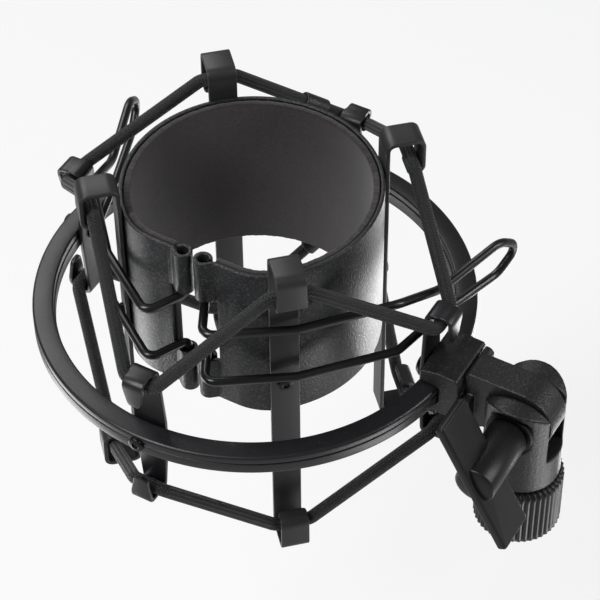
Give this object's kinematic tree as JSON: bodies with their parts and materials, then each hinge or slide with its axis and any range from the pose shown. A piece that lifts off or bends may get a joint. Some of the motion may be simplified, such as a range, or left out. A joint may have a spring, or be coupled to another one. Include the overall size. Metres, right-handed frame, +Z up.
{
  "type": "microphone shock mount",
  "caption": "Elastic shock mount for a studio microphone: a felt-lined split sleeve hung on cords inside a ring, on a tilting stand swivel.",
  "frame": {"origin": "on the axis of the stand thread, in the collar's bottom face", "axes": "+Z up along the stand and the microphone, the ring's centre lies 30 degrees from -X towards +Y, the sleeve's split faces away from +Y"},
  "size_m": [0.1183, 0.1123, 0.087],
  "materials": {
    "ring_paint": "satin black powder coat",
    "sleeve_paint": "satin black powder coat, finely speckled",
    "black_steel": "blackened steel",
    "felt": "dense black felt",
    "cord": "braided black cover on elastic cord",
    "crimp": "shrunk black sleeve",
    "wire_coat": "glossy black coated wire",
    "swivel_paint": "fine textured matt black",
    "knob_plastic": "moulded black plastic",
    "collar_paint": "satin black",
    "plain_steel": "zinc plated"
  },
  "bodies": {
    "collar": {"knurled_collar": "collar_paint"},
    "post": {"stand_post": "swivel_paint", "pivot_nut": "plain_steel", "pivot_washer": "black_steel", "retaining_clip": "plain_steel"},
    "thumbscrew": {"thumbscrew": "knob_plastic"},
    "cradle": {"outer_ring": "ring_paint", "ring_post_1": "ring_paint", "ring_post_2": "ring_paint", "ring_post_3": "ring_paint", "ring_post_4": "ring_paint", "post_rivet_1": "black_steel", "post_rivet_2": "black_steel", "post_rivet_3": "black_steel", "bracket_screw": "black_steel", "ring_bracket": "swivel_paint", "swivel_arm": "swivel_paint", "elastic_upper": "cord", "elastic_lower": "cord", "elastic_crimp_upper": "crimp", "elastic_crimp_lower": "crimp"},
    "sleeve": {"sleeve_shell": "sleeve_paint", "felt_lining": "felt", "strap_1": "sleeve_paint", "strap_2": "sleeve_paint", "strap_3": "sleeve_paint", "strap_4": "sleeve_paint", "strap_rivet_1": "black_steel", "strap_rivet_2": "black_steel", "strap_rivet_3": "black_steel", "strap_rivet_4": "black_steel"},
    "handle_right": {"handle_right": "wire_coat"},
    "handle_left": {"handle_left": "wire_coat"}
  },
  "joints": [
    {"name": "pan", "type": "hinge", "parent": "collar", "child": "post", "pos_m": [0, 0, 0.0145], "axis": [0, 0, 1], "continuous": true},
    {"name": "thumbscrew_turn", "type": "hinge", "parent": "post", "child": "thumbscrew", "pos_m": [0, 0, 0.0348], "axis": [0.5, 0.866, 0], "continuous": true},
    {"name": "tilt", "type": "hinge", "parent": "post", "child": "cradle", "pos_m": [0, 0, 0.0348], "axis": [0.5, 0.866, 0], "range_deg": [-5, 90]},
    {"name": "bounce", "type": "slide", "parent": "cradle", "child": "sleeve", "axis": [0, 0, 1], "range_m": [-0.0035, 0.0035], "stiffness_N_per_m": 1200, "springref_m": 0.0008, "deforming": ["elastic_upper", "elastic_lower"]},
    {"name": "handle_right_swing", "type": "hinge", "parent": "sleeve", "child": "handle_right", "pos_m": [-0.06856, 0.01135, 0.05], "axis": [0, 0, 1], "range_deg": [-1.2, 1]},
    {"name": "handle_left_swing", "type": "hinge", "parent": "sleeve", "child": "handle_left", "pos_m": [-0.0728, 0.0138, 0.05], "axis": [0, 0, 1], "range_deg": [-1, 1.2]}
  ]
}
